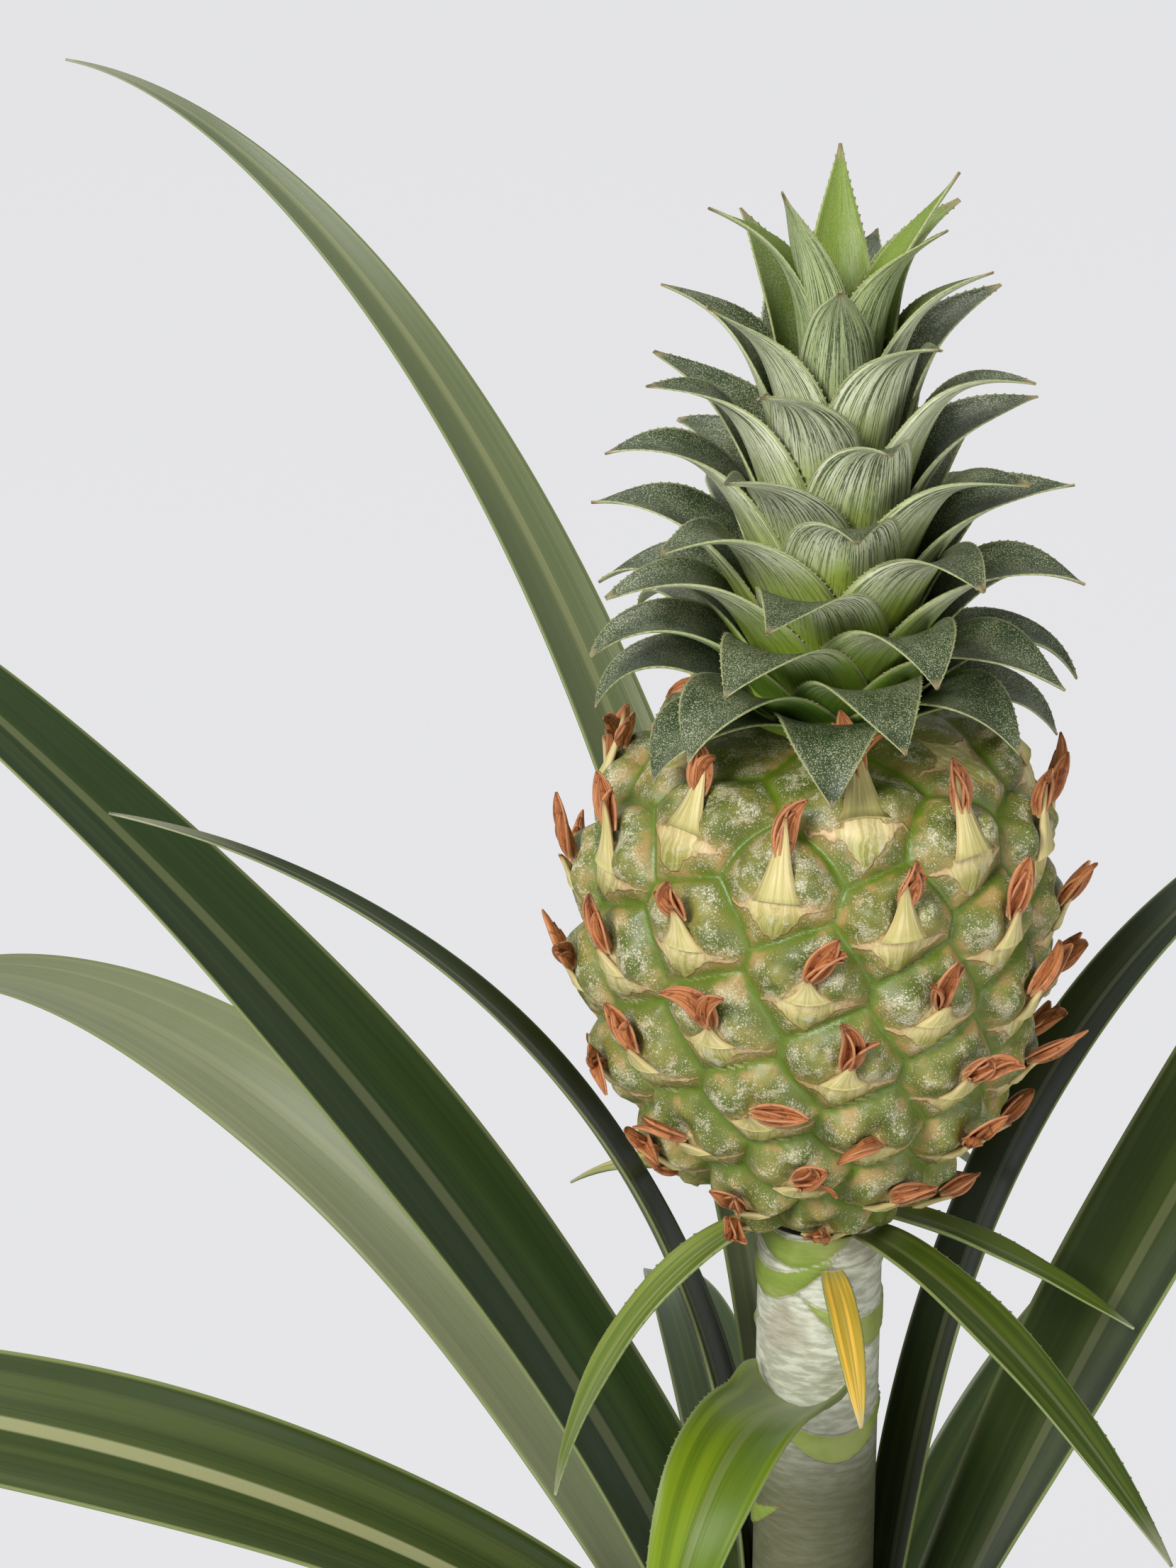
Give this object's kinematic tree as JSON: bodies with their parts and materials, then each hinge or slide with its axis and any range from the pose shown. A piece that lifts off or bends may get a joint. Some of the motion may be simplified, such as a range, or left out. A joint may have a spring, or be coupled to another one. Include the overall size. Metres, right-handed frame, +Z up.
{
  "type": "potted pineapple plant",
  "caption": "Young pineapple plant in a round nursery pot: arching strap leaves, one crowned fruit on an upright stem, soil below the rim.",
  "frame": {"origin": "centre of the pot's foot, on the ground", "axes": "+Z up along the pot and stem, -Y towards the plant's front, +X to the right seen from the front"},
  "size_m": [0.4655, 0.4486, 0.4501],
  "materials": {
    "pot": "matte",
    "soil": "matte",
    "stem": "satin",
    "fruit": "satin",
    "crown_leaf": "satin",
    "stem_leaf": "satin",
    "foliage": "satin"
  },
  "bodies": {
    "root": {"crown_leaf_01": "crown_leaf", "crown_leaf_02": "crown_leaf", "crown_leaf_03": "crown_leaf", "crown_leaf_04": "crown_leaf", "crown_leaf_05": "crown_leaf", "crown_leaf_06": "crown_leaf", "crown_leaf_07": "crown_leaf", "crown_leaf_08": "crown_leaf", "crown_leaf_09": "crown_leaf", "crown_leaf_10": "crown_leaf", "crown_leaf_11": "crown_leaf", "crown_leaf_12": "crown_leaf", "crown_leaf_13": "crown_leaf", "crown_leaf_14": "crown_leaf", "crown_leaf_15": "crown_leaf", "crown_leaf_16": "crown_leaf", "crown_leaf_17": "crown_leaf", "crown_leaf_18": "crown_leaf", "crown_leaf_19": "crown_leaf", "crown_leaf_20": "crown_leaf", "crown_leaf_21": "crown_leaf", "crown_leaf_22": "crown_leaf", "crown_leaf_23": "crown_leaf", "crown_leaf_24": "crown_leaf", "crown_stem": "stem", "crown_whorl_1": "crown_leaf", "crown_whorl_2": "crown_leaf", "crown_whorl_3": "crown_leaf", "crown_whorl_4": "crown_leaf", "crown_whorl_5": "crown_leaf", "crown_whorl_6": "crown_leaf", "foliage_leaf_back_left_low": "foliage", "foliage_leaf_back_low": "foliage", "foliage_leaf_front_low": "foliage", "foliage_leaf_front_right_low": "foliage", "foliage_leaf_left_arched": "foliage", "foliage_leaf_left_back_low": "foliage", "foliage_leaf_left_back_tall": "foliage", "foliage_leaf_left_front_broad": "foliage", "foliage_leaf_left_front_low": "foliage", "foliage_leaf_left_wide": "foliage", "foliage_leaf_right_back": "foliage", "foliage_leaf_right_broad": "foliage", "foliage_leaf_right_front": "foliage", "fruit": "fruit", "pot": "pot", "soil": "soil", "stem": "stem", "stem_leaf_back": "stem_leaf", "stem_leaf_clasping": "stem_leaf", "stem_leaf_front_yellow": "stem_leaf", "stem_leaf_left": "stem_leaf", "stem_leaf_left_small": "stem_leaf", "stem_leaf_right_back": "stem_leaf", "stem_leaf_right_long": "stem_leaf"}
  },
  "joints": []
}
